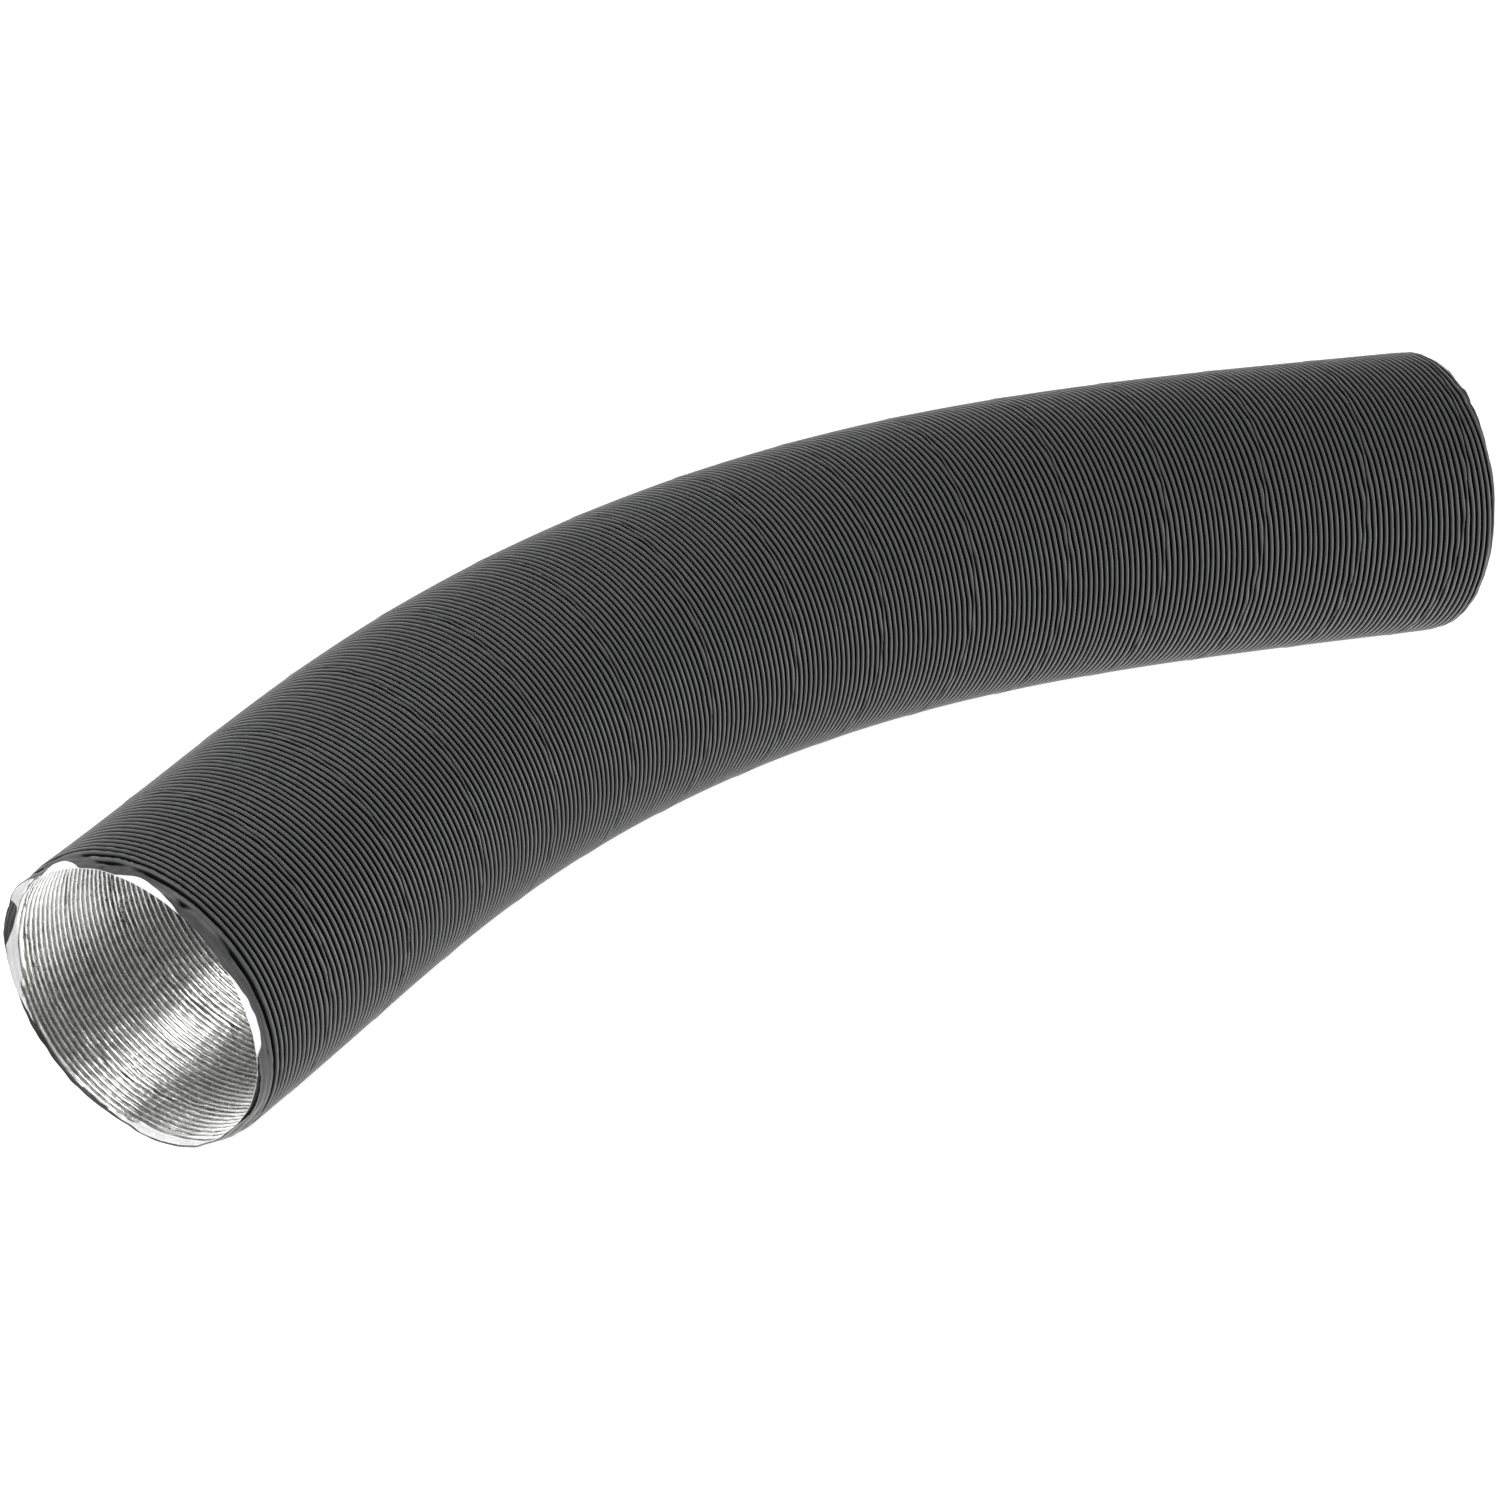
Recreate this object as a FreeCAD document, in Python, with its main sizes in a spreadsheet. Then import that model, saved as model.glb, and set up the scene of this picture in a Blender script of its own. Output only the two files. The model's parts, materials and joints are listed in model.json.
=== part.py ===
"""Flexible air duct: a strip-wound hose of black paper lined with aluminium foil.

The hose is wound from one strip of paper over one strip of foil, and then finely corrugated.
Each turn of the strips is a straight sleeve, paper outside and foil inside. Between one turn
and the next lies a fold: the short stretch of corrugations that opens and closes as the hose
bends. The hose lies on its side in one gentle bend, with its centreline in a horizontal plane.

Units are millimetres and degrees. +Z is up, +X runs from the inlet's centre to the outlet's,
and the origin is at the centre of the bottom of the hose's box.
"""

import FreeCAD, Part
import math
import os

# name: value. These are the driving dimensions, and the spreadsheet holds them.
DIMENSIONS = {
    "duct_length": 457.2,  # along the centreline, 18 in
    "inner_diameter": 76.2,  # clear bore, 3 in
    "outer_diameter": 79.5,  # over the crests of the corrugations
    "turn_count": 14,  # turns of the strip, end to end
    "fold_length": 14.2,  # the stretch between two turns that bends, 8 corrugations
    "paper_depth": 0.7,  # how deep the corrugated paper strip is, crest to glue
    "glue_gap": 0.05,  # glue between paper and foil
    "fold_inset": 0.25,  # a fold stays this far inside the faces of the sleeves
    "inlet_bend": 3.4,  # bend over one turn at the inlet, left turn positive
    "middle_bend": -4.1,  # bend over each turn along the middle of the hose
    "outlet_bend": 0.7,  # bend over one turn at the outlet
    "middle_from": 3.4,  # turns from the inlet to where the middle bend begins
    "middle_to": 8.9,  # turns from the inlet to where the middle bend ends
}

SHEET = "Dimensions"


def make_sheet(doc):
    """The spreadsheet of driving dimensions, one named cell for each."""
    sheet = doc.addObject("Spreadsheet::Sheet", SHEET)
    for row, (alias, value) in enumerate(DIMENSIONS.items(), start=1):
        add_cell(sheet, row, alias, value)
    doc.recompute()
    for fold in range(1, fold_count(sheet) + 1):
        add_cell(sheet, len(DIMENSIONS) + fold, bend_alias(fold), rest_bend(sheet, fold))
    doc.recompute()
    return sheet


def add_cell(sheet, row, alias, value):
    sheet.set(f"A{row}", alias)
    sheet.set(f"B{row}", repr(value))
    sheet.setAlias(f"B{row}", alias)


def bend_alias(fold):
    return f"bend_{fold:02d}"


def fold_count(sheet):
    """One fold between each turn and the next."""
    return int(sheet.turn_count) - 1


def turn_length(sheet):
    """The strip's lead: how far one turn advances along the hose."""
    return sheet.duct_length / sheet.turn_count


def rest_bend(sheet, fold):
    """The bend of one fold in the hose's rest shape: it changes evenly from the inlet's
    bend to the middle's, stays the same along the middle, and then changes evenly to the
    outlet's."""
    if fold < sheet.middle_from:
        share = fold / sheet.middle_from
        return sheet.inlet_bend + share * (sheet.middle_bend - sheet.inlet_bend)
    if fold > sheet.middle_to:
        share = (fold - sheet.middle_to) / (sheet.turn_count - sheet.middle_to)
        return sheet.middle_bend + share * (sheet.outlet_bend - sheet.middle_bend)
    return sheet.middle_bend


def sleeve_length(sheet, turn):
    """The straight length of one turn. An end turn has a fold on one side only."""
    folds_beside = 1 if turn in (1, int(sheet.turn_count)) else 2
    return turn_length(sheet) - folds_beside * sheet.fold_length / 2


def walk(sheet, start, heading):
    """Follows the centreline in plan: straight along each sleeve, round an arc at each fold.

    Returns ([(point, heading) where each sleeve starts], [the same for each fold], end)."""
    x, y = start
    sleeves, folds = [], []
    for turn in range(1, int(sheet.turn_count) + 1):
        sleeves.append(((x, y), heading))
        straight = sleeve_length(sheet, turn)
        x += straight * math.cos(math.radians(heading))
        y += straight * math.sin(math.radians(heading))
        if turn > fold_count(sheet):
            break
        folds.append(((x, y), heading))
        bend = getattr(sheet, bend_alias(turn))
        radius = sheet.fold_length / math.radians(bend)
        x += radius * (math.sin(math.radians(heading + bend)) - math.sin(math.radians(heading)))
        y -= radius * (math.cos(math.radians(heading + bend)) - math.cos(math.radians(heading)))
        heading += bend
    return sleeves, folds, (x, y)


def box_middle(sheet, sleeves):
    """The middle, in plan, of the box round all the sleeves, from their end circles."""
    radius = sheet.outer_diameter / 2
    low_x, high_x, low_y, high_y = [], [], [], []
    for turn, ((x, y), heading) in enumerate(sleeves, start=1):
        along_x = math.cos(math.radians(heading))
        along_y = math.sin(math.radians(heading))
        for distance in (0, sleeve_length(sheet, turn)):
            end_x = x + distance * along_x
            end_y = y + distance * along_y
            low_x.append(end_x - radius * abs(along_y))
            high_x.append(end_x + radius * abs(along_y))
            low_y.append(end_y - radius * abs(along_x))
            high_y.append(end_y + radius * abs(along_x))
    return (min(low_x) + max(high_x)) / 2, (min(low_y) + max(high_y)) / 2


def lay_out(sheet):
    """The centreline in the part's own frame: its ends in line along X, its box centred."""
    _, _, (end_x, end_y) = walk(sheet, (0, 0), 0)
    heading = -math.degrees(math.atan2(end_y, end_x))
    sleeves, _, _ = walk(sheet, (0, 0), heading)
    middle_x, middle_y = box_middle(sheet, sleeves)
    return walk(sheet, (-middle_x, -middle_y), heading)


def sleeve_placement(sheet, point, heading):
    """Puts a cylinder, built along its own Z, at a point of the centreline."""
    axis_height = sheet.outer_diameter / 2
    lie_down = FreeCAD.Rotation(FreeCAD.Vector(0, 1, 0), 90)
    turn_to_heading = FreeCAD.Rotation(FreeCAD.Vector(0, 0, 1), heading)
    position = FreeCAD.Vector(point[0], point[1], axis_height)
    return FreeCAD.Placement(position, turn_to_heading.multiply(lie_down))


def fold_placement(sheet, fold, point, heading):
    """Puts a torus segment, built round its own Z, so that it starts at a point of the
    centreline. A left bend keeps its Z up and has its centre on the left, and a right bend
    is the same turned over."""
    bend = getattr(sheet, bend_alias(fold))
    radius = sheet.fold_length / math.radians(abs(bend))
    left_turn = bend > 0
    turn_to_side = FreeCAD.Rotation(FreeCAD.Vector(0, 0, 1), heading + (-90 if left_turn else 90))
    turn_over = FreeCAD.Rotation(FreeCAD.Vector(1, 0, 0), 0 if left_turn else 180)
    rotation = turn_to_side.multiply(turn_over)
    start = FreeCAD.Vector(point[0], point[1], sheet.outer_diameter / 2)
    return FreeCAD.Placement(start - rotation.multVec(FreeCAD.Vector(radius, 0, 0)), rotation)


def cylinder(doc, name, radius, length):
    solid = doc.addObject("Part::Cylinder", name)
    solid.setExpression("Radius", radius)
    solid.setExpression("Height", length)
    return solid


def arc_tube(doc, name, radius, fold):
    """A torus segment as long as a fold, bent as much as that fold is."""
    bend = f"abs({SHEET}.{bend_alias(fold)})"
    solid = doc.addObject("Part::Torus", name)
    solid.setExpression("Radius1", f"{SHEET}.fold_length / ({bend} * pi / 180)")
    solid.setExpression("Radius2", radius)
    solid.setExpression("Angle3", bend)
    return solid


def hollow(doc, name, outside, inside, placement):
    """One sub-part: the outside solid with the inside solid cut out of it."""
    tube = doc.addObject("Part::Cut", name)
    tube.Base = outside
    tube.Tool = inside
    tube.Label = name
    tube.Placement = placement
    return tube


def sleeve(doc, name, turn, radii, placement, last_turn):
    """One turn of one strip, as a straight sleeve."""
    folds_beside = 1 if turn in (1, last_turn) else 2
    length = (
        f"{SHEET}.duct_length / {SHEET}.turn_count - {folds_beside} * {SHEET}.fold_length / 2"
    )
    outside = cylinder(doc, f"{name}_outside", radii[0], length)
    inside = cylinder(doc, f"{name}_inside", radii[1], length)
    return hollow(doc, name, outside, inside, placement)


def fold_ring(doc, name, fold, radii, placement):
    """The flexing stretch of one strip between two turns, as a slightly bent ring."""
    outside = arc_tube(doc, f"{name}_outside", radii[0], fold)
    inside = arc_tube(doc, f"{name}_inside", radii[1], fold)
    return hollow(doc, name, outside, inside, placement)


def strip_radii():
    """(outside, inside) radius of each strip, in a sleeve and in a fold, as expressions."""
    crest = f"{SHEET}.outer_diameter / 2"
    bore = f"{SHEET}.inner_diameter / 2"
    paper_back = f"{crest} - {SHEET}.paper_depth"
    foil_face = f"{paper_back} - {SHEET}.glue_gap"
    return {
        "paper_turn": (crest, paper_back),
        "foil_turn": (foil_face, bore),
        "paper_fold": (f"{crest} - {SHEET}.fold_inset", paper_back),
        "foil_fold": (foil_face, f"{bore} + {SHEET}.fold_inset"),
    }


def make_duct(doc, sheet):
    """Every sub-part of the hose: the sleeves of the two strips and the folds between them."""
    radii = strip_radii()
    sleeves, folds, _ = lay_out(sheet)
    parts = []
    for turn, (point, heading) in enumerate(sleeves, start=1):
        placement = sleeve_placement(sheet, point, heading)
        for strip in ("paper_turn", "foil_turn"):
            name = f"{strip}_{turn:02d}"
            parts.append(sleeve(doc, name, turn, radii[strip], placement, len(sleeves)))
    for fold, (point, heading) in enumerate(folds, start=1):
        placement = fold_placement(sheet, fold, point, heading)
        for strip in ("paper_fold", "foil_fold"):
            parts.append(fold_ring(doc, f"{strip}_{fold:02d}", fold, radii[strip], placement))
    return parts


def check(doc, parts):
    """Stops if any object failed to recompute, or any sub-part isn't one valid solid."""
    for item in doc.Objects:
        if "Invalid" in item.State or "Error" in item.State:
            raise RuntimeError(f"{item.Name} failed: {item.State}")
    for part in parts:
        if part.Shape.isNull() or not part.Shape.isValid():
            raise RuntimeError(f"{part.Label} has no valid shape")
        if len(part.Shape.Solids) != 1:
            raise RuntimeError(f"{part.Label} isn't one solid")


def main():
    doc = FreeCAD.newDocument("flexible_air_duct")
    sheet = make_sheet(doc)
    parts = make_duct(doc, sheet)
    doc.recompute()
    check(doc, parts)
    os.makedirs("parts", exist_ok=True)
    for part in parts:
        part.Shape.exportStep(f"parts/{part.Label}.step")
    print(f"{len(parts)} sub-parts written")


main()
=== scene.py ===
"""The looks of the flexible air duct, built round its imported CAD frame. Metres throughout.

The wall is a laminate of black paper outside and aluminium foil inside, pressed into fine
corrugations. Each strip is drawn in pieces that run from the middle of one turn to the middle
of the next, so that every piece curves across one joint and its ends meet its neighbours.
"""
import json
import math

import bpy
import numpy as np
from mathutils import Matrix, Vector


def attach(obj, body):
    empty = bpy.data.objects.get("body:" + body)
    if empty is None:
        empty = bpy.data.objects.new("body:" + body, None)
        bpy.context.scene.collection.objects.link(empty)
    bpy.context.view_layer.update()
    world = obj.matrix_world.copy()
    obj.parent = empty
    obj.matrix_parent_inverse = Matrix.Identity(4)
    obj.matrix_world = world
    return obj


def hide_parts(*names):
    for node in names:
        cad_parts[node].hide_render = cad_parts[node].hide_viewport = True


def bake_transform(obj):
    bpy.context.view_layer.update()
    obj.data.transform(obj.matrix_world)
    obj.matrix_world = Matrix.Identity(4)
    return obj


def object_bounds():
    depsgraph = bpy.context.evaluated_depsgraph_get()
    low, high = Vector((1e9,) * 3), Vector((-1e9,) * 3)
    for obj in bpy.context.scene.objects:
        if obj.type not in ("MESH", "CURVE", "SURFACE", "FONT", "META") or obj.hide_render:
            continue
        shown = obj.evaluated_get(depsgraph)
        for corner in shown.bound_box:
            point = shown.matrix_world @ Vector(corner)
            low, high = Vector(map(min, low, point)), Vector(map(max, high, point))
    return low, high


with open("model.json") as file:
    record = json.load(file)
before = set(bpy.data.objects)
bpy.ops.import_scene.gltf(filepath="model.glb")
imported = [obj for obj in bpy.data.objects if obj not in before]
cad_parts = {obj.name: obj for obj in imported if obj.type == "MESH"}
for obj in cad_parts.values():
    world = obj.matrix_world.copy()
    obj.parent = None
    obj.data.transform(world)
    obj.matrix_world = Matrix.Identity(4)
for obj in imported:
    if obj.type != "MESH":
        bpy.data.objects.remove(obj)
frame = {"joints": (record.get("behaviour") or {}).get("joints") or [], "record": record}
cad_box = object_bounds()

MM = 0.001
TAU = 2 * math.pi

# ---------------------------------------------------------------- the frame's own sizes
MOUNTS = {mount["name"]: mount for mount in frame["record"]["mounts"]}
INLET = np.array(MOUNTS["inlet_bore"]["pos_m"])
OUTLET = np.array(MOUNTS["outlet_bore"]["pos_m"])
JOINTS = sorted(frame["joints"], key=lambda joint: joint["name"])
HINGES = np.array([joint["pos_m"] for joint in JOINTS])
TURNS = len(JOINTS) + 1
TURN_LENGTH = float(np.linalg.norm(np.diff(HINGES, axis=0), axis=1).mean())
LENGTH = TURNS * TURN_LENGTH
CREST_RADIUS = float(cad_box[1].z - cad_box[0].z) / 2

# ---------------------------------------------------------------- the wall
RIDGES = 258  # corrugations, end to end
RIDGE_PITCH = LENGTH / RIDGES
STARTS = 6  # threads of the corrugation's right-handed helix
RIDGE_DEPTH = 1.05 * MM
CREST_WIDTH = 1.7  # above 1 the crests are broad and the grooves narrow
CREST_INSET = 0.12 * MM  # leaves room for the lap's step inside the frame's box
PAPER_THICKNESS = 0.16 * MM
GLUE = 0.04 * MM
FOIL_THICKNESS = 0.12 * MM
LAP_PHASE = 0.137  # where the paper's lap starts, in turns of the strip
FOIL_LAP_PHASE = LAP_PHASE + 0.5  # the foil's lap lies half a turn away
LAP_JOG = 0.42  # how far a ridge jumps at the paper's lap, in pitches
LAP_REACH = 3.4 * MM  # how far along the duct that jump fades
LAP_STEP = 0.14 * MM  # the upper ply of the lap stands this much proud
LAP_FADE = 4 * MM  # how far behind its edge the upper ply sinks back
LAP_EDGE = 0.3 * MM  # half the width of that edge, and of the jump there
LAP_BAND = 0.9 * MM  # half the width of the band where the lap is pressed less
LAP_SHALLOWER = 0.3  # how much less, as a share of the depth
LAP_WAVER_REACH = 2.5 * MM  # how far from the lap its ridges waver
FOIL_JOG = 0.2  # how far a ridge jumps at the foil's lap, which shows less
FOIL_LAP_EDGE = 0.8 * MM
MEAN_DEPTH = 0.96  # the usual share of the corrugation's full depth

# ---------------------------------------------------------------- unevenness
# Each kind of wave is (size, length, seed of its random draws).
RIDGES_WANDER = (0.04, 24 * MM, 3)  # size in pitches
RIDGES_TREMBLE = (0.02, 9 * MM, 4)  # size in pitches
LAP_WAVER = (0.13, 8 * MM, 21)  # size in pitches
DEPTH_WAVES = (0.06, 17 * MM, 5)  # size as a share of the depth
LAP_DEPTH_WAVES = (0.2, 6 * MM, 22)  # size as a share of the depth
PRESSED_WAVES = (0.10 * MM, 6 * MM, 31)  # in the margin beside a cut

# ---------------------------------------------------------------- mesh density
ROWS_PER_RIDGE = 10
AROUND = 160
AROUND_AT_END = 320  # the torn edges need more
CENTRELINE_STEPS = 4000
NORMAL_STEP = 0.02 * MM  # how far apart the points are that a face's slope is taken from


def smooth(value, low, high):
    """0 below low, 1 above high and a smooth ramp between them."""
    share = np.clip((value - low) / (high - low), 0, 1)
    return share * share * (3 - 2 * share)


def ripple(s, q, length, seed, count=7):
    """A smooth irregular pattern over the tube, mostly between -1 and 1, with features about
    as long as length. It repeats round the tube, so it has no seam."""
    pick = np.random.RandomState(seed)
    total = np.zeros(np.broadcast(s, q).shape)
    most_round = CREST_RADIUS * TAU / length
    for _ in range(count):
        slant = pick.uniform(0, math.pi)
        speed = pick.uniform(0.6, 1.3)
        along = TAU / length * speed * math.sin(slant)
        around = round(most_round * speed * math.cos(slant))
        total = total + np.sin(along * s + around * q + pick.uniform(0, TAU))
    return total / count ** 0.5 / 1.4


def waves(kind, s, q):
    """One kind of unevenness over the tube."""
    size, length, seed = kind
    return size * ripple(s, q, length, seed)


# ---------------------------------------------------------------- the centreline
def turn_headings():
    """Which way each turn of the strip points, in radians from +X."""
    corners = np.vstack([INLET, HINGES, OUTLET])
    runs = np.diff(corners, axis=0)
    return np.arctan2(runs[:, 1], runs[:, 0])


def trace_centreline():
    """Distances along the duct with the heading and the point at each of them. The heading
    changes evenly from the middle of one turn to the middle of the next."""
    s = np.linspace(0, LENGTH, CENTRELINE_STEPS + 1)
    middles = (np.arange(TURNS) + 0.5) * TURN_LENGTH
    heading = np.interp(s, middles, turn_headings())
    step = np.diff(s)
    along_x = (np.cos(heading[1:]) + np.cos(heading[:-1])) / 2 * step
    along_y = (np.sin(heading[1:]) + np.sin(heading[:-1])) / 2 * step
    x = INLET[0] + np.concatenate([[0], np.cumsum(along_x)])
    y = INLET[1] + np.concatenate([[0], np.cumsum(along_y)])
    return s, heading, x, y


CENTRELINE = trace_centreline()


def axis_point(s):
    """The centreline's point at s, and straight on past its ends."""
    track, heading, x, y = CENTRELINE
    inside = np.clip(s, 0, LENGTH)
    past = s - inside
    direction = np.interp(inside, track, heading)
    px = np.interp(inside, track, x) + past * np.cos(direction)
    py = np.interp(inside, track, y) + past * np.sin(direction)
    return px, py, direction


def tube_point(s, q, radius):
    """A point of the wall: s along the duct, q round it from its left side over its top."""
    px, py, heading = axis_point(s)
    left = radius * np.cos(q)
    x = px - left * np.sin(heading)
    y = py + left * np.cos(heading)
    z = INLET[2] + radius * np.sin(q)
    return np.stack([x, y, np.broadcast_to(z, x.shape)], axis=-1)


# ---------------------------------------------------------------- corrugations
def lap_offset(s, q, phase):
    """How far s lies past the nearest edge of a left-handed strip, along the duct."""
    turns = s / TURN_LENGTH + q / TAU - phase
    return (turns - np.round(turns)) * TURN_LENGTH


def jog(offset, size, sharpness):
    """A jump of size at offset 0 that fades away on both sides."""
    return size / 2 * np.tanh(offset / sharpness) * np.exp(-np.abs(offset) / LAP_REACH)


def even_phase(s, q):
    """Counts ridges away from the paper's lap: whole numbers on the crests."""
    helix = s / RIDGE_PITCH - STARTS * q / TAU
    foil_jump = jog(lap_offset(s, q, FOIL_LAP_PHASE), FOIL_JOG, FOIL_LAP_EDGE)
    return helix + foil_jump + waves(RIDGES_WANDER, s, q) + waves(RIDGES_TREMBLE, s, q)


def lap_shift(s, q):
    """How far the ridges jump and waver beside the paper's lap, in ridges."""
    offset = lap_offset(s, q, LAP_PHASE)
    waver = waves(LAP_WAVER, s, q) * np.exp(-np.abs(offset) / LAP_WAVER_REACH)
    return jog(offset, LAP_JOG, LAP_EDGE) + waver


def groove(strip, s, q):
    """0 on a strip's crests and 1 at the bottom of its grooves. The foil lies inside the
    paper's grooves too, and so its own are wider where the paper's ridges jump."""
    even = even_phase(s, q)
    paper = ((1 - np.cos(TAU * (even + lap_shift(s, q)))) / 2) ** CREST_WIDTH
    if strip == "paper":
        return paper
    return np.maximum(paper, ((1 - np.cos(TAU * even)) / 2) ** CREST_WIDTH)


def lap_height(s, q):
    """The upper ply of the paper's lap stands proud at its edge and sinks back behind it."""
    offset = lap_offset(s, q, LAP_PHASE)
    sunk = np.exp(-np.maximum(offset, 0) / LAP_FADE)
    return LAP_STEP * smooth(offset, -LAP_EDGE, LAP_EDGE) * sunk


def depth_share(strip, s, q):
    """How deep the corrugation is pressed: a little uneven, and less in the paper's lap."""
    even = MEAN_DEPTH + waves(DEPTH_WAVES, s, q)
    if strip == "foil":
        return even
    at_lap = np.exp(-((lap_offset(s, q, LAP_PHASE) / LAP_BAND) ** 2))
    return even * (1 - at_lap * np.maximum(LAP_SHALLOWER + waves(LAP_DEPTH_WAVES, s, q), 0))


# ---------------------------------------------------------------- the two cut ends
EDGE_REACH = 4.6 * MM  # rows farther than this from a cut run straight round the tube
LEAN_REACH = 6 * MM  # how far in the wall leans near a cut
LOOSE_FROM, LOOSE_REACH = 0.5 * MM, 5 * MM  # how far in loose paper stands off, fully and at all
PRESSED_WIDTH = 0.9 * MM  # the smooth margin beside a cut, where no mark makes it wider
MOST_PRESSED = 0.93  # a little of the corrugation still shows there
PRESSED_LEVEL = 0.35  # the share of the corrugation's depth at which that margin lies
PRESSED_FADE = (-0.5 * MM, 0.3 * MM)  # from here to here past its width it turns into ridges
SEEN_BEHIND = 0.25 * MM  # how far behind the paper's edge the foil's outside still shows
NARROW_SIDE = math.radians(130)  # the side on which the cut end narrows most
NARROW_SWING = 0.6  # how much more it narrows there, and how much less on the other side

# Each mark is where it starts, where it is largest and where it stops, in degrees round the
# tube from its left side over its top, and its size in mm. "proud" is how far the cut stands
# out, "flared" how far the wall leans outward, "torn" how much of a strip is missing,
# "pressed" how much wider the smooth margin is and "loose" how far the paper stands off.
INLET_MARKS = {
    "proud": [(196, 228, 264, 1.9), (-12, 12, 36, 0.9)],
    "flared": [(-32, 0, 37, 1.2), (6, 19, 32, 1.9)],
    "paper_torn": [
        (33, 40, 56, 3.0), (42, 50, 77, 0.25), (73, 86, 103, 1.9), (128, 157, 168, 1.8),
    ],
    "foil_torn": [
        (-10, 2, 13, 3.9), (24, 30, 36, 3.8), (102, 116, 130, 0.9), (204, 232, 262, 0.45),
        (258, 296, 332, 1.0),
    ],
    "pressed": [
        (-31, -6, 36, 3.6), (30, 44, 66, 2.6), (66, 86, 104, 2.2), (100, 116, 132, 2.3),
        (124, 155, 172, 2.0), (162, 183, 204, 2.7), (190, 228, 268, 4.2),
    ],
    "loose": [(164, 184, 204, 1.4)],
}
OUTLET_MARKS = {
    "proud": [(93, 98, 102, 0.7)],
    "flared": [],
    "paper_torn": [(94, 98, 101, 0.6), (276, 290, 304, 1.0)],
    "foil_torn": [(184, 200, 216, 0.8)],
    "pressed": [
        (-6, 20, 48, 0.8), (90, 98, 105, 0.8), (216, 250, 284, 1.4), (268, 300, 332, 1.6),
    ],
    "loose": [(94, 98, 102, 0.5)],
}


def marks_at(q, marks, blunt=2):
    """The size of a list of marks at each angle, in metres. The higher blunt is, the longer
    each mark keeps its full size."""
    total = np.zeros(np.shape(q))
    for start, middle, stop, size in marks:
        away = (q - math.radians(middle) + math.pi) % TAU - math.pi
        reach = np.where(away < 0, middle - start, stop - middle)
        share = np.minimum(np.abs(away) / np.radians(reach), 1)
        total = np.maximum(total, size * MM * (1 - share ** blunt))
    return total


def ragged(q, seed):
    """The small unevenness of a cut edge, in metres."""
    zero = np.zeros(np.shape(q))
    fine = waves((0.10 * MM, 4 * MM, seed), zero, q)
    broad = waves((0.18 * MM, 20 * MM, seed + 1), zero, q)
    return fine + broad


class CutEnd:
    """One end of the duct. The cut lies a little off square, both strips are pressed smooth
    beside it, and their edges are torn here and there."""

    def __init__(self, cut, narrowing, marks, seed):
        self.cut_middle, self.cut_left, self.cut_top = cut  # mm inside the nominal end
        self.narrowing = narrowing  # mm
        self.marks = marks
        self.seed = seed

    def cut(self, q):
        """How far inside the duct's nominal end the cut lies."""
        slant = (self.cut_middle + self.cut_left * np.cos(q) + self.cut_top * np.sin(q)) * MM
        return slant - marks_at(q, self.marks["proud"])

    def edge(self, strip, q):
        """How far inside the nominal end the strip's edge lies."""
        seed = self.seed + (0 if strip == "paper" else 10)
        return self.cut(q) + marks_at(q, self.marks[f"{strip}_torn"]) + ragged(q, seed)

    def crush(self, inward, q):
        """Near 1 where the corrugation is pressed smooth beside the cut, 0 where it is whole."""
        extra = marks_at(q, self.marks["pressed"], blunt=4)
        width = PRESSED_WIDTH + extra + ragged(q, self.seed + 5)
        depth = inward - self.cut(q)
        return MOST_PRESSED * (1 - smooth(depth - width, *PRESSED_FADE))

    def push(self, strip, inward, q):
        """How far the wall leans outward there. It narrows towards most of the cut, and the
        paper stands out where it has come loose."""
        depth = inward - self.cut(q)
        narrowing = self.narrowing * (1 + NARROW_SWING * np.cos(q - NARROW_SIDE)) * MM
        lean = marks_at(q, self.marks["flared"]) - narrowing
        lean = lean * (1 - smooth(depth, 0, LEAN_REACH)) ** 1.5
        if strip == "paper":
            stand_off = marks_at(q, self.marks["loose"])
            lean = lean + stand_off * (1 - smooth(depth, LOOSE_FROM, LOOSE_REACH))
        return lean


INLET_END = CutEnd(cut=(-2.3, 0.8, -1.1), narrowing=1.5, marks=INLET_MARKS, seed=40)
OUTLET_END = CutEnd(cut=(-0.8, 0, 0), narrowing=0.2, marks=OUTLET_MARKS, seed=70)


def near_end(s):
    """(the cut end nearer to s, the distance inward from its nominal end)."""
    if np.mean(s) < LENGTH / 2:
        return INLET_END, s
    return OUTLET_END, LENGTH - s


def smoothed(strip, face, s, q):
    """1 where a strip's face is smooth and open to view beside a cut. The paper hides the
    foil's outside from just behind the paper's own edge on."""
    end, inward = near_end(s)
    crush = smooth(end.crush(inward, q), 0.1, 0.9)
    if strip == "foil" and face == "outside":
        return crush * (inward < end.edge("paper", q) + SEEN_BEHIND)
    return crush


# ---------------------------------------------------------------- the strips' faces
def wall_radius(strip, face, s, q):
    """The radius of one face of a strip: paper or foil, outside or inside."""
    end, inward = near_end(s)
    crush = end.crush(inward, q)
    share = depth_share(strip, s, q) * groove(strip, s, q) * (1 - crush) + PRESSED_LEVEL * crush
    radius = CREST_RADIUS - CREST_INSET - RIDGE_DEPTH * share
    radius = radius + crush * waves(PRESSED_WAVES, s, q) + end.push(strip, inward, q)
    if strip == "paper" and face == "outside":
        return radius + (1 - crush) * lap_height(s, q)
    if strip == "paper":
        return radius - PAPER_THICKNESS
    radius = radius - PAPER_THICKNESS - GLUE
    if face == "inside":
        radius = radius - FOIL_THICKNESS
    return radius


def face_point(strip, face, s, q):
    return tube_point(s, q, wall_radius(strip, face, s, q))


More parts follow.
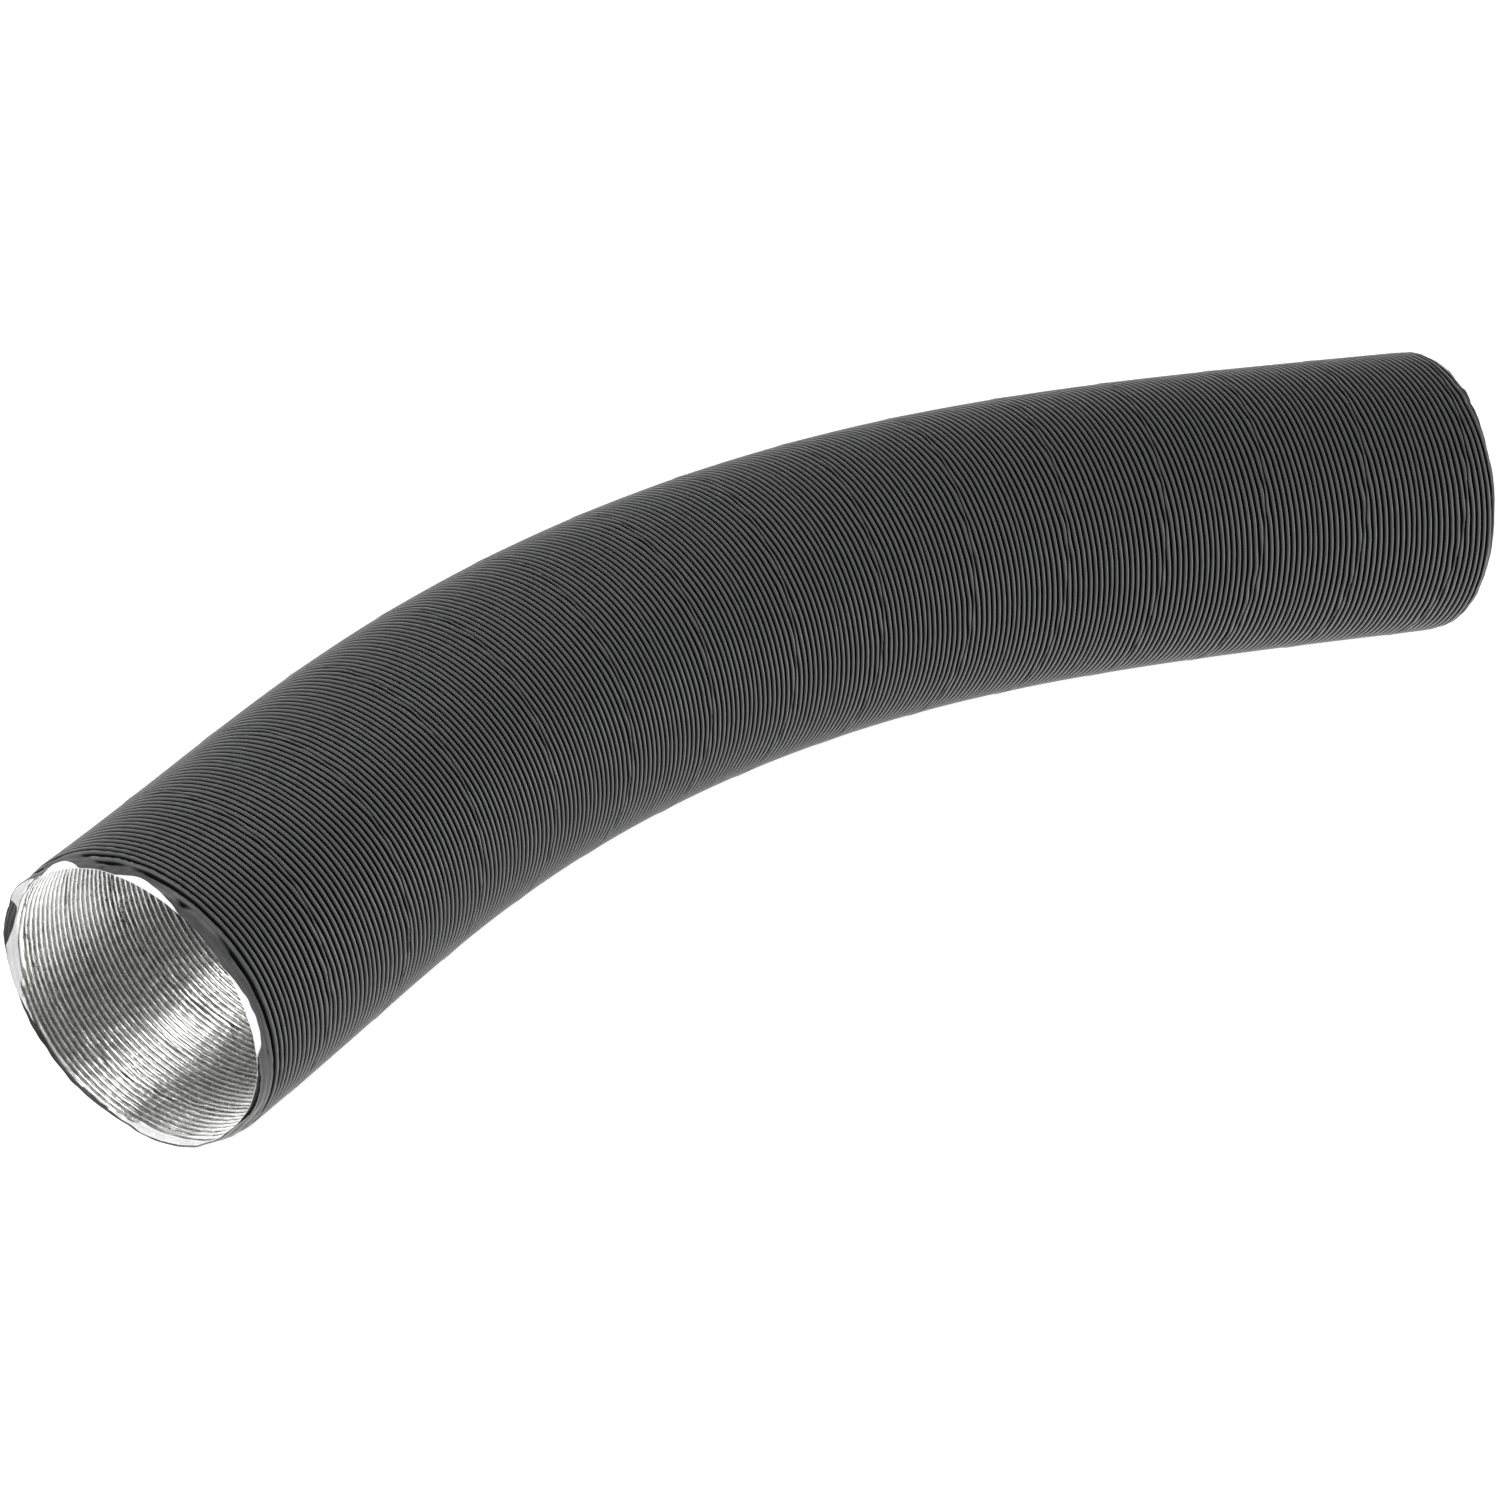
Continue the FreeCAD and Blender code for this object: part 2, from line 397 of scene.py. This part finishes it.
def face_normal(strip, face, s, q):
    """The unit normal of a face, from the slopes of its formula, so that it is the same on
    both sides of the line where two pieces meet."""
    step = NORMAL_STEP
    turn = NORMAL_STEP / CREST_RADIUS
    along = face_point(strip, face, s + step, q) - face_point(strip, face, s - step, q)
    around = face_point(strip, face, s, q + turn) - face_point(strip, face, s, q - turn)
    normal = np.cross(around, along) if face == "outside" else np.cross(along, around)
    return normal / np.linalg.norm(normal, axis=-1, keepdims=True)


# ---------------------------------------------------------------- pieces of the wall
FACES = ("outside", "inside")


def turn_middle(turn):
    """The distance along the duct to the middle of a turn, counted from 1."""
    return (turn - 0.5) * TURN_LENGTH


def row_positions(strip, start, stop, q):
    """A grid of distances along the duct: rows from start to stop, columns for q. The rows
    beside a cut end bunch up or spread so that the last one follows its ragged edge."""
    rows = int(round((stop - start) / RIDGE_PITCH * ROWS_PER_RIDGE)) + 1
    s = np.linspace(start, stop, rows)[:, None] + 0 * q
    if start <= 0:
        s = s + INLET_END.edge(strip, q) * np.maximum(1 - s / EDGE_REACH, 0)
    if stop >= LENGTH:
        s = s - OUTLET_END.edge(strip, q) * np.maximum(1 - (LENGTH - s) / EDGE_REACH, 0)
    return s


def build_wall(name, strip, start, stop, around=AROUND):
    """One closed piece of a strip: its outside, its inside and the two edges that join them."""
    q = np.arange(around) * TAU / around
    s = row_positions(strip, start, stop, q)
    q_grid = np.broadcast_to(q, s.shape)
    points = [face_point(strip, face, s, q_grid).reshape(-1, 3) for face in FACES]
    normals = [face_normal(strip, face, s, q_grid).reshape(-1, 3) for face in FACES]
    flat = [smoothed(strip, face, s, q_grid).ravel() for face in FACES]
    depth = groove(strip, s, q_grid).ravel()
    piece = make_mesh(name, np.concatenate(points), wall_faces(*s.shape))
    add_attribute(piece, "groove", np.tile(depth, 2))
    add_attribute(piece, "smoothed", np.concatenate(flat))
    piece.data.normals_split_custom_set_from_vertices(np.concatenate(normals))
    return piece


def wall_faces(rows, around):
    """The quads of a piece whose points are the outside's rows and then the inside's."""
    index = np.arange(2 * rows * around).reshape(2, rows, around)
    outside = grid_faces(index[0], flip=False)
    inside = grid_faces(index[1], flip=True)
    start_edge = grid_faces(np.stack([index[1, 0], index[0, 0]]), flip=False)
    stop_edge = grid_faces(np.stack([index[0, -1], index[1, -1]]), flip=False)
    return np.concatenate([outside, inside, start_edge, stop_edge])


def grid_faces(index, flip):
    """Quads between the rows of a grid of point numbers that closes on itself round the tube."""
    after = np.roll(index, -1, axis=1)
    corners = [index[:-1], after[:-1], after[1:], index[1:]]
    if flip:
        corners.reverse()
    return np.stack(corners, axis=-1).reshape(-1, 4)


def make_mesh(name, points, faces):
    """A smooth-shaded object of quads."""
    mesh = bpy.data.meshes.new(name)
    mesh.vertices.add(len(points))
    mesh.vertices.foreach_set("co", points.astype(np.float32).ravel())
    mesh.loops.add(faces.size)
    mesh.loops.foreach_set("vertex_index", faces.astype(np.int32).ravel())
    mesh.polygons.add(len(faces))
    mesh.polygons.foreach_set("loop_start", np.arange(0, faces.size, 4, dtype=np.int32))
    mesh.polygons.foreach_set("use_smooth", np.ones(len(faces), dtype=bool))
    mesh.update(calc_edges=True)
    mesh.validate()
    piece = bpy.data.objects.new(name, mesh)
    bpy.context.scene.collection.objects.link(piece)
    return piece


def add_attribute(piece, name, values):
    """One number for each point of a piece, for its material to read."""
    attribute = piece.data.attributes.new(name, "FLOAT", "POINT")
    attribute.data.foreach_set("value", values.astype(np.float32))


# ---------------------------------------------------------------- materials
def new_material(name):
    """(a material, its node tree, its shader)."""
    material = bpy.data.materials.new(name)
    material.use_nodes = True
    tree = material.node_tree
    return material, tree, tree.nodes["Principled BSDF"]


def noise(tree, scale, detail, vector, roughness=0.6):
    node = tree.nodes.new("ShaderNodeTexNoise")
    node.inputs["Scale"].default_value = scale
    node.inputs["Detail"].default_value = detail
    node.inputs["Roughness"].default_value = roughness
    tree.links.new(vector, node.inputs["Vector"])
    return node.outputs["Fac"]


def object_coordinates(tree):
    return tree.nodes.new("ShaderNodeTexCoord").outputs["Object"]


def ramp(tree, factor, stops):
    """Colours or grey levels at places from 0 to 1."""
    node = tree.nodes.new("ShaderNodeValToRGB")
    elements = node.color_ramp.elements
    while len(elements) < len(stops):
        elements.new(1)
    for element, (place, colour) in zip(elements, stops):
        element.position = place
        element.color = (*colour, 1)
    tree.links.new(factor, node.inputs["Fac"])
    return node.outputs["Color"]


def mix_colour(tree, kind, factor, first, second):
    node = tree.nodes.new("ShaderNodeMix")
    node.data_type = "RGBA"
    node.blend_type = kind
    for socket, value in (("Factor", factor), ("A", first), ("B", second)):
        target = [i for i in node.inputs if i.name == socket and i.enabled][0]
        if isinstance(value, (int, float)):
            target.default_value = value
        else:
            tree.links.new(value, target)
    return [o for o in node.outputs if o.enabled][0]


def bump(tree, shader, height, strength, distance):
    node = tree.nodes.new("ShaderNodeBump")
    node.inputs["Strength"].default_value = strength
    node.inputs["Distance"].default_value = distance
    tree.links.new(height, node.inputs["Height"])
    tree.links.new(node.outputs["Normal"], shader.inputs["Normal"])


def grey(level):
    return (level, level, level)


def attribute_value(tree, name):
    node = tree.nodes.new("ShaderNodeAttribute")
    node.attribute_name = name
    return node.outputs["Fac"]


def paper_material():
    """Matte black kraft paper: dark grey on the crests, with painted shade that turns it nearly
    black in the grooves, and with fibres.
    """
    material, tree, shader = new_material("black_paper")
    where = object_coordinates(tree)
    depth = attribute_value(tree, "groove")
    # Painted shade: the colour falls from the crests to nearly black in the grooves, where shade
    # falls.
    groove_shaded = ramp(tree, depth, [
        (0.0, (0.037, 0.038, 0.039)),
        (0.17, (0.029, 0.030, 0.031)),
        (0.38, (0.0045, 0.0045, 0.005)),
        (0.8, (0.002, 0.002, 0.002)),
    ])
    plain = ramp(tree, noise(tree, 300, 4, where), [(0.3, grey(0.028)), (0.7, grey(0.050))])
    flat = attribute_value(tree, "smoothed")
    body = mix_colour(tree, "MIX", flat, groove_shaded, plain)
    clouds = ramp(tree, noise(tree, 55, 4, where), [(0.3, grey(0.84)), (0.7, grey(1.0))])
    fibres = ramp(tree, noise(tree, 1600, 5, where, 0.7), [(0.3, grey(0.72)), (0.72, grey(1.0))])
    body = mix_colour(tree, "MULTIPLY", 1.0, body, clouds)
    body = mix_colour(tree, "MULTIPLY", 1.0, body, fibres)
    tree.links.new(body, shader.inputs["Base Color"])
    # The shine and sheen fade out in the grooves too, which adds to that painted shade.
    ridged_shine = ramp(tree, depth, [(0.1, grey(0.78)), (0.5, grey(0.03))])
    plain_shine = ramp(tree, depth, [(0, grey(0.3)), (1, grey(1.0))])
    shine = mix_colour(tree, "MIX", flat, ridged_shine, plain_shine)
    tree.links.new(shine, shader.inputs["Specular IOR Level"])
    rough = ramp(tree, noise(tree, 240, 3, where), [(0.3, grey(0.54)), (0.7, grey(0.70))])
    tree.links.new(rough, shader.inputs["Roughness"])
    sheen = ramp(tree, depth, [(0.1, grey(0.55)), (0.5, grey(0.03))])
    tree.links.new(sheen, shader.inputs["Sheen Weight"])
    shader.inputs["Sheen Roughness"].default_value = 0.5
    bump(tree, shader, noise(tree, 2400, 4, where, 0.7), 0.35, 0.05 * MM)
    return material


def foil_material():
    """Aluminium foil: bright and grey by turns where it is corrugated, the grey being painted
    shade in its hollows, and where it is pressed smooth beside a cut, white with a faint painted
    glow that stands for the bright room in it."""
    material, tree, shader = new_material("aluminium_foil")
    where = object_coordinates(tree)
    # Painted shade: darkest where the groove attribute is lowest, which seen from inside the duct
    # are the hollows between the foil's ridges.
    groove_shaded = ramp(tree, attribute_value(tree, "groove"), [
        (0.0, (0.17, 0.17, 0.165)),
        (0.14, (0.31, 0.31, 0.30)),
        (0.5, (0.80, 0.80, 0.79)),
    ])
    white = ramp(tree, noise(tree, 260, 3, where), [
        (0.3, (0.55, 0.55, 0.56)),
        (0.7, (0.62, 0.62, 0.63)),
    ])
    flat = attribute_value(tree, "smoothed")
    tree.links.new(mix_colour(tree, "MIX", flat, groove_shaded, white), shader.inputs["Base Color"])
    metal = ramp(tree, flat, [(0, grey(1.0)), (1, grey(0.0))])
    tree.links.new(metal, shader.inputs["Metallic"])
    # Painted light: the smooth margin glows a little, standing for the bright room it faces.
    glow = ramp(tree, flat, [(0.2, grey(0)), (1, grey(0.36))])
    tree.links.new(glow, shader.inputs["Emission Strength"])
    shader.inputs["Emission Color"].default_value = (1, 1, 1, 1)
    rough = ramp(tree, noise(tree, 520, 4, where), [(0.3, grey(0.20)), (0.75, grey(0.34))])
    tree.links.new(rough, shader.inputs["Roughness"])
    bump(tree, shader, noise(tree, 700, 2, where), 0.3, 0.06 * MM)
    return material


def floor_material():
    """A white floor lit from below, so that it stays pale in the shadows."""
    material, _, shader = new_material("floor")
    shader.inputs["Base Color"].default_value = (0.55, 0.55, 0.55, 1)
    shader.inputs["Roughness"].default_value = 0.9
    shader.inputs["Specular IOR Level"].default_value = 0.1
    shader.inputs["Emission Color"].default_value = (1, 1, 1, 1)
    shader.inputs["Emission Strength"].default_value = 0.85
    return material


# ---------------------------------------------------------------- the duct
MATERIALS = {"paper": paper_material(), "foil": foil_material()}


def finish_piece(piece, strip, replaced):
    piece.data.materials.append(MATERIALS[strip])
    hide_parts(*replaced)


def body_name(turn):
    return f"turn_{turn:02d}"


def end_piece(strip, turn, start, stop, label):
    """The half turn at a cut end, which moves with that turn."""
    piece = build_wall(f"{strip}_{label}", strip, start, stop, AROUND_AT_END)
    finish_piece(piece, strip, [f"{strip}_turn_{turn:02d}"])
    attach(piece, body_name(turn))


def bending_piece(strip, turn):
    """The stretch from the middle of one turn to the middle of the next, curved across the joint
    between them.
    """
    start, stop = turn_middle(turn), turn_middle(turn + 1)
    piece = build_wall(f"{strip}_wall_{turn:02d}", strip, start, stop)
    turns = [f"{strip}_turn_{number:02d}" for number in (turn, turn + 1)]
    replaced = [turns[0], f"{strip}_fold_{turn:02d}", turns[1]]
    finish_piece(piece, strip, replaced)
    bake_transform(piece)


def build_duct():
    for strip in ("paper", "foil"):
        end_piece(strip, 1, 0, turn_middle(1), "inlet_end")
        for turn in range(1, TURNS):
            bending_piece(strip, turn)
        end_piece(strip, TURNS, turn_middle(TURNS), LENGTH, "outlet_end")


# ---------------------------------------------------------------- floor, light and camera
FLOOR_REACH = 30


def build_floor():
    far = FLOOR_REACH
    corners = np.array([(-far, -far, 0), (far, -far, 0), (far, far, 0), (-far, far, 0)])
    floor = make_mesh("floor", corners, np.array([[0, 1, 2, 3]]))
    floor.data.materials.append(floor_material())


def area_light(name, position, target, size, power):
    """A round soft light, aimed at a target and left out of the camera's own view."""
    light = bpy.data.lights.new(name, "AREA")
    light.shape = "DISK"
    light.size = size
    light.energy = power
    holder = bpy.data.objects.new(name, light)
    holder.location = position
    aim = Vector(target) - Vector(position)
    holder.rotation_euler = aim.to_track_quat("-Z", "Y").to_euler()
    holder.visible_camera = False
    bpy.context.scene.collection.objects.link(holder)


def build_sky():
    """A white room, brightest low down and dimmest halfway up."""
    world = bpy.data.worlds.new("studio")
    bpy.context.scene.world = world
    world.use_nodes = True
    tree = world.node_tree
    direction = tree.nodes.new("ShaderNodeTexCoord").outputs["Generated"]
    split = tree.nodes.new("ShaderNodeSeparateXYZ")
    tree.links.new(direction, split.inputs["Vector"])
    shade = ramp(tree, split.outputs["Z"], [(0.0, grey(1.0)), (0.5, grey(0.5)), (1.0, grey(0.58))])
    tree.links.new(shade, tree.nodes["Background"].inputs["Color"])
    tree.nodes["Background"].inputs["Strength"].default_value = 0.55


def build_light():
    build_sky()
    middle = (0, 0, CREST_RADIUS)
    by_inlet = (-0.2, 0, CREST_RADIUS)
    near_third = (-0.15, 0.03, CREST_RADIUS)
    area_light("key", (-1.09, -0.06, 0.84), by_inlet, size=0.57, power=12.5)
    area_light("back", (-0.6, 0.7, 0.6), near_third, size=0.4, power=2)
    area_light("front", (0.95, -1.05, 0.2), middle, size=1.0, power=20)


CAMERA_POINT = (-0.8808, -0.7543, 0.9537)
CAMERA_HEADING = 40.654  # degrees from +X
CAMERA_DOWN = 39.113  # degrees below the horizon
CAMERA_ROLL = 14.589
CAMERA_LENS = 134.771  # mm
CAMERA_FRAME = 36  # mm


def build_camera():
    camera = bpy.data.cameras.new("camera")
    camera.lens = CAMERA_LENS
    camera.sensor_width = CAMERA_FRAME
    holder = bpy.data.objects.new("camera", camera)
    heading = math.radians(CAMERA_HEADING)
    down = math.radians(CAMERA_DOWN)
    level_share = math.cos(down)
    forward = Vector((
        math.cos(heading) * level_share,
        math.sin(heading) * level_share,
        -math.sin(down),
    ))
    level = forward.to_track_quat("-Z", "Y").to_matrix().to_4x4()
    roll = Matrix.Rotation(math.radians(CAMERA_ROLL), 4, "Z")
    holder.matrix_world = Matrix.Translation(CAMERA_POINT) @ level @ roll
    bpy.context.scene.collection.objects.link(holder)
    bpy.context.scene.camera = holder


bpy.context.scene.view_settings.view_transform = "Standard"
build_duct()
build_floor()
build_light()
build_camera()
